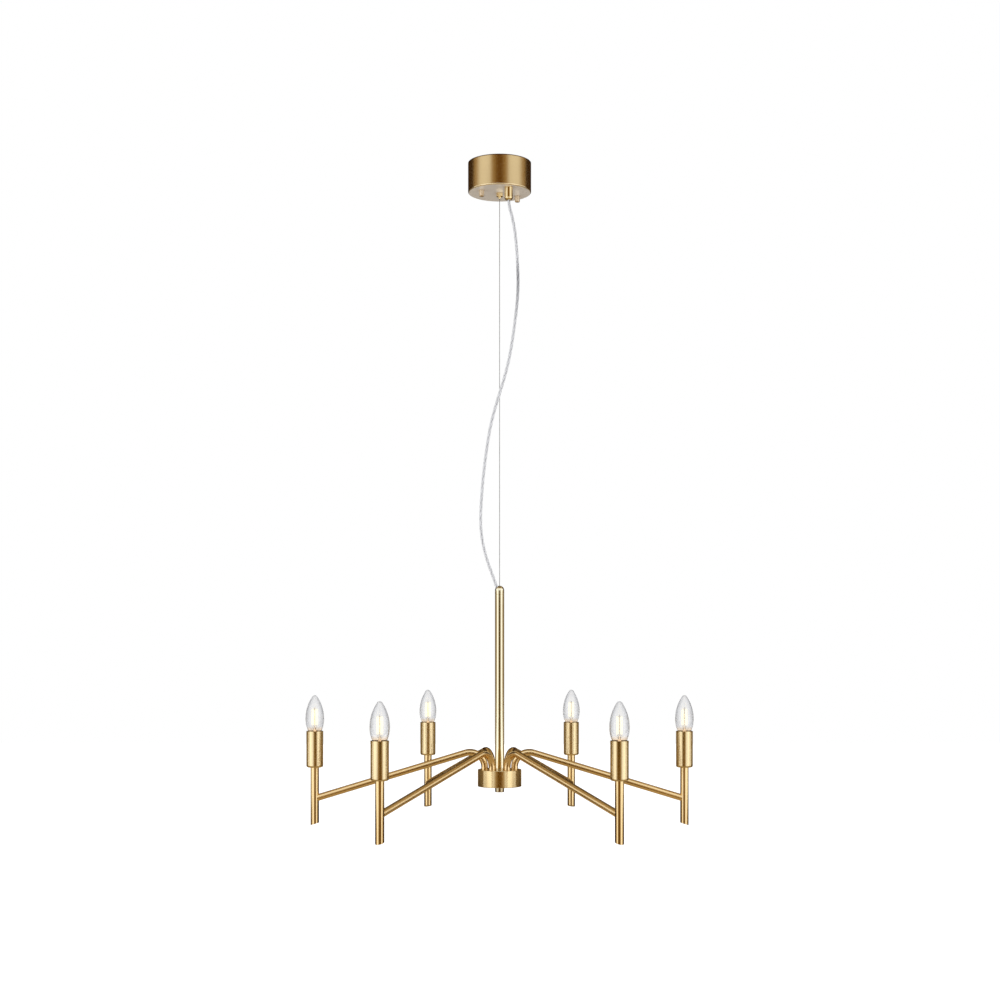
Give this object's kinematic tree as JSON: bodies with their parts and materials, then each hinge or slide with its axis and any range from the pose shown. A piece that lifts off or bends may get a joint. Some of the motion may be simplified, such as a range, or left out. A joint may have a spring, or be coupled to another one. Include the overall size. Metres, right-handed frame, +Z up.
{
  "type": "multi arm chandelier",
  "caption": "Satin brass candle chandelier: swivelling gooseneck arms rise from a drum hub on a slim stem, hung from a cylindrical ceiling canopy by a steel wire and a clear slack cord.",
  "frame": {"origin": "on the canopy's axis in the ceiling plane, where the bracket's upper face meets the ceiling", "axes": "+Z up into the ceiling, +X to the right, -Y the front, where the cord leaves the canopy"},
  "size_m": [0.739, 0.6376, 1.2604],
  "materials": {
    "satin_brass": "satin brushed brass under clear lacquer",
    "polished_brass": "polished brass",
    "pale_brass": "pale knurled brass",
    "zinc_steel": "zinc plated steel",
    "steel_wire": "stranded steel wire",
    "clear_cord": "clear soft plastic over tinned cores",
    "white_plastic": "moulded plastic",
    "dark_plastic": "moulded heat-proof plastic",
    "bulb_glass": "clear glass",
    "nickel_base": "nickel plated screw base",
    "filament": "lit pale yellow filaments on a glass mount"
  },
  "bodies": {
    "canopy": {"ceiling_bracket": "zinc_steel", "bracket_studs": "zinc_steel", "terminal_block": "white_plastic", "canopy_cup": "satin_brass", "wire_grip": "pale_brass", "cord_grip": "polished_brass"},
    "nut_left": {"canopy_nut_left": "pale_brass"},
    "nut_right": {"canopy_nut_right": "pale_brass"},
    "hanger": {"suspension_wire": "steel_wire", "power_cord": "clear_cord"},
    "pendant": {"stem_cap": "polished_brass", "stem_tube": "polished_brass", "stem_rod": "zinc_steel", "hub_shell": "satin_brass", "arm_clamp_plate": "zinc_steel", "junction_block": "white_plastic", "hub_cover": "satin_brass"},
    "finial_nut": {"finial": "polished_brass"},
    "arm_front_left": {"arm_front_left": "satin_brass", "post_front_left": "satin_brass", "sleeve_front_left": "satin_brass", "lampholder_front_left": "dark_plastic"},
    "bulb_front_left": {"bulb_glass_front_left": "bulb_glass", "bulb_base_front_left": "nickel_base", "filaments_front_left": "filament"},
    "arm_left": {"arm_left": "satin_brass", "post_left": "satin_brass", "sleeve_left": "satin_brass", "lampholder_left": "dark_plastic"},
    "bulb_left": {"bulb_glass_left": "bulb_glass", "bulb_base_left": "nickel_base", "filaments_left": "filament"},
    "arm_rear_left": {"arm_rear_left": "satin_brass", "post_rear_left": "satin_brass", "sleeve_rear_left": "satin_brass", "lampholder_rear_left": "dark_plastic"},
    "bulb_rear_left": {"bulb_glass_rear_left": "bulb_glass", "bulb_base_rear_left": "nickel_base", "filaments_rear_left": "filament"},
    "arm_rear_right": {"arm_rear_right": "satin_brass", "post_rear_right": "satin_brass", "sleeve_rear_right": "satin_brass", "lampholder_rear_right": "dark_plastic"},
    "bulb_rear_right": {"bulb_glass_rear_right": "bulb_glass", "bulb_base_rear_right": "nickel_base", "filaments_rear_right": "filament"},
    "arm_right": {"arm_right": "satin_brass", "post_right": "satin_brass", "sleeve_right": "satin_brass", "lampholder_right": "dark_plastic"},
    "bulb_right": {"bulb_glass_right": "bulb_glass", "bulb_base_right": "nickel_base", "filaments_right": "filament"},
    "arm_front_right": {"arm_front_right": "satin_brass", "post_front_right": "satin_brass", "sleeve_front_right": "satin_brass", "lampholder_front_right": "dark_plastic"},
    "bulb_front_right": {"bulb_glass_front_right": "bulb_glass", "bulb_base_front_right": "nickel_base", "filaments_front_right": "filament"}
  },
  "joints": [
    {"name": "left_nut_turn", "type": "hinge", "parent": "canopy", "child": "nut_left", "pos_m": [-0.034, -0.02, -0.064], "axis": [0, 0, 1], "continuous": true},
    {"name": "right_nut_turn", "type": "hinge", "parent": "canopy", "child": "nut_right", "pos_m": [0.034, 0.02, -0.064], "axis": [0, 0, 1], "continuous": true},
    {"name": "pendant_swing", "type": "hinge", "parent": "canopy", "child": "hanger", "pos_m": [0, 0, -0.0663], "axis": [0, 1, 0], "range_deg": [-8, 8], "deforming": ["power_cord"]},
    {"name": "pendant_height", "type": "slide", "parent": "hanger", "child": "pendant", "axis": [0, 0, 1], "range_m": [0, 0.3], "deforming": ["suspension_wire", "power_cord"]},
    {"name": "finial_turn", "type": "hinge", "parent": "pendant", "child": "finial_nut", "pos_m": [0, 0, -1.192], "axis": [0, 0, 1], "continuous": true},
    {"name": "front_left_arm_swivel", "type": "hinge", "parent": "pendant", "child": "arm_front_left", "pos_m": [-0.01425, -0.02468, -1.147], "axis": [0, 0, 1], "range_deg": [-20, 20]},
    {"name": "left_arm_swivel", "type": "hinge", "parent": "pendant", "child": "arm_left", "pos_m": [-0.0285, 0, -1.147], "axis": [0, 0, 1], "range_deg": [-20, 20]},
    {"name": "rear_left_arm_swivel", "type": "hinge", "parent": "pendant", "child": "arm_rear_left", "pos_m": [-0.01425, 0.02468, -1.147], "axis": [0, 0, 1], "range_deg": [-20, 20]},
    {"name": "rear_right_arm_swivel", "type": "hinge", "parent": "pendant", "child": "arm_rear_right", "pos_m": [0.01425, 0.02468, -1.147], "axis": [0, 0, 1], "range_deg": [-20, 20]},
    {"name": "right_arm_swivel", "type": "hinge", "parent": "pendant", "child": "arm_right", "pos_m": [0.0285, 0, -1.147], "axis": [0, 0, 1], "range_deg": [-20, 20]},
    {"name": "front_right_arm_swivel", "type": "hinge", "parent": "pendant", "child": "arm_front_right", "pos_m": [0.01425, -0.02468, -1.147], "axis": [0, 0, 1], "range_deg": [-20, 20]},
    {"name": "front_left_bulb_turn", "type": "hinge", "parent": "arm_front_left", "child": "bulb_front_left", "pos_m": [-0.20667, -0.28473, -1.097], "axis": [0, 0, 1], "continuous": true},
    {"name": "left_bulb_turn", "type": "hinge", "parent": "arm_left", "child": "bulb_left", "pos_m": [-0.352, 0, -1.097], "axis": [0, 0, 1], "continuous": true},
    {"name": "rear_left_bulb_turn", "type": "hinge", "parent": "arm_rear_left", "child": "bulb_rear_left", "pos_m": [-0.15097, 0.31787, -1.097], "axis": [0, 0, 1], "continuous": true},
    {"name": "rear_right_bulb_turn", "type": "hinge", "parent": "arm_rear_right", "child": "bulb_rear_right", "pos_m": [0.15097, 0.31787, -1.097], "axis": [0, 0, 1], "continuous": true},
    {"name": "right_bulb_turn", "type": "hinge", "parent": "arm_right", "child": "bulb_right", "pos_m": [0.352, 0, -1.097], "axis": [0, 0, 1], "continuous": true},
    {"name": "front_right_bulb_turn", "type": "hinge", "parent": "arm_front_right", "child": "bulb_front_right", "pos_m": [0.20667, -0.28473, -1.097], "axis": [0, 0, 1], "continuous": true}
  ]
}
